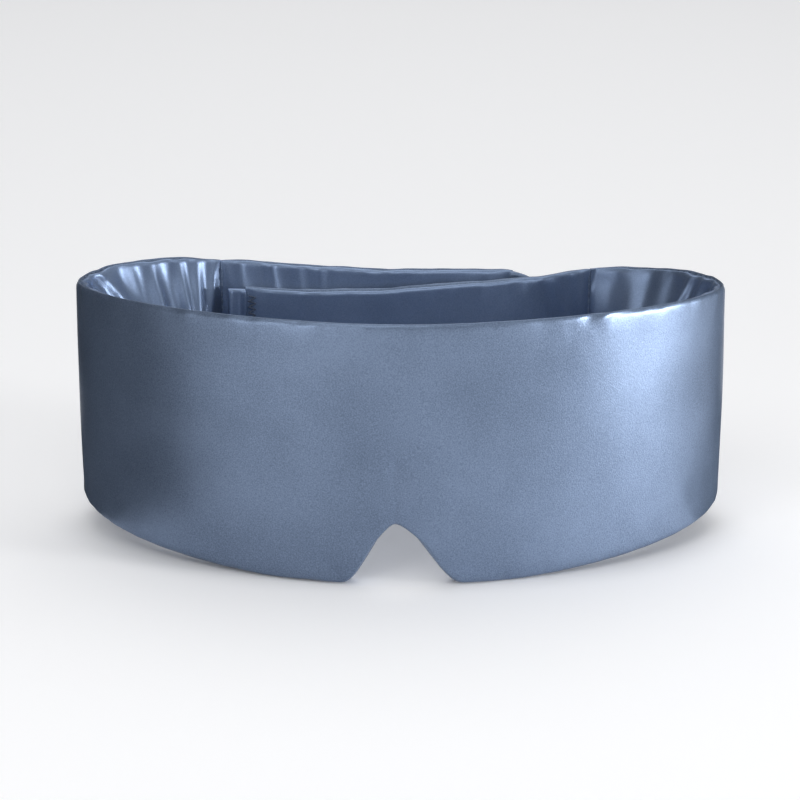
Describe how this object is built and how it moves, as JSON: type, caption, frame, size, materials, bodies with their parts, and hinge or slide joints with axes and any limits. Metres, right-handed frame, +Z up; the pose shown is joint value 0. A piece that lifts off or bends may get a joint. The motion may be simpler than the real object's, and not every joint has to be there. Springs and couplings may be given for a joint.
{
  "type": "sleep mask",
  "caption": "Wrap-around padded satin sleep mask with a nose notch, standing closed; two back straps overlap in a hook-and-loop closure.",
  "frame": {"origin": "middle of the closed loop's box, at the level of its lower edge", "axes": "+Z up, -Y out of the front of the face, +X across the face from temple to temple"},
  "size_m": [0.24, 0.126, 0.098],
  "materials": {
    "satin": "satin",
    "satin_lining": "satin",
    "wadding": "matte",
    "blackout": "matte",
    "loop_tape": "matte",
    "hook_tape": "matte",
    "thread": "satin"
  },
  "bodies": {
    "mask_front": {"front_shell": "satin", "front_padding": "wadding", "front_blackout_layer": "blackout", "front_lining": "satin_lining", "front_top_seam": "satin", "front_bottom_seam": "satin", "nose_notch_seam": "satin", "left_join_seam": "satin", "right_join_seam": "satin"},
    "left_strap": {"left_strap_outer_face": "satin", "left_strap_padding": "wadding", "left_strap_inner_face": "satin_lining", "left_strap_top_seam": "satin", "left_strap_bottom_seam": "satin", "left_strap_end_hem": "satin", "left_strap_end_stitches": "thread", "loop_tape": "loop_tape", "loop_tape_stitches": "thread"},
    "right_strap": {"right_strap_outer_face": "satin", "right_strap_padding": "wadding", "right_strap_inner_face": "satin_lining", "right_strap_seams": "satin", "hook_tape": "hook_tape", "hook_tape_stitches": "thread", "pull_tab": "satin", "tab_zigzag_stitches": "thread"}
  },
  "joints": [
    {"name": "left_strap_fold", "type": "hinge", "parent": "mask_front", "child": "left_strap", "pos_m": [-0.07, 0.04859, 0], "axis": [0, 0, 1], "range_deg": [0, 90]},
    {"name": "right_strap_fold", "type": "hinge", "parent": "mask_front", "child": "right_strap", "pos_m": [0.072, 0.04786, 0], "axis": [0, 0, 1], "range_deg": [0, 30]}
  ]
}
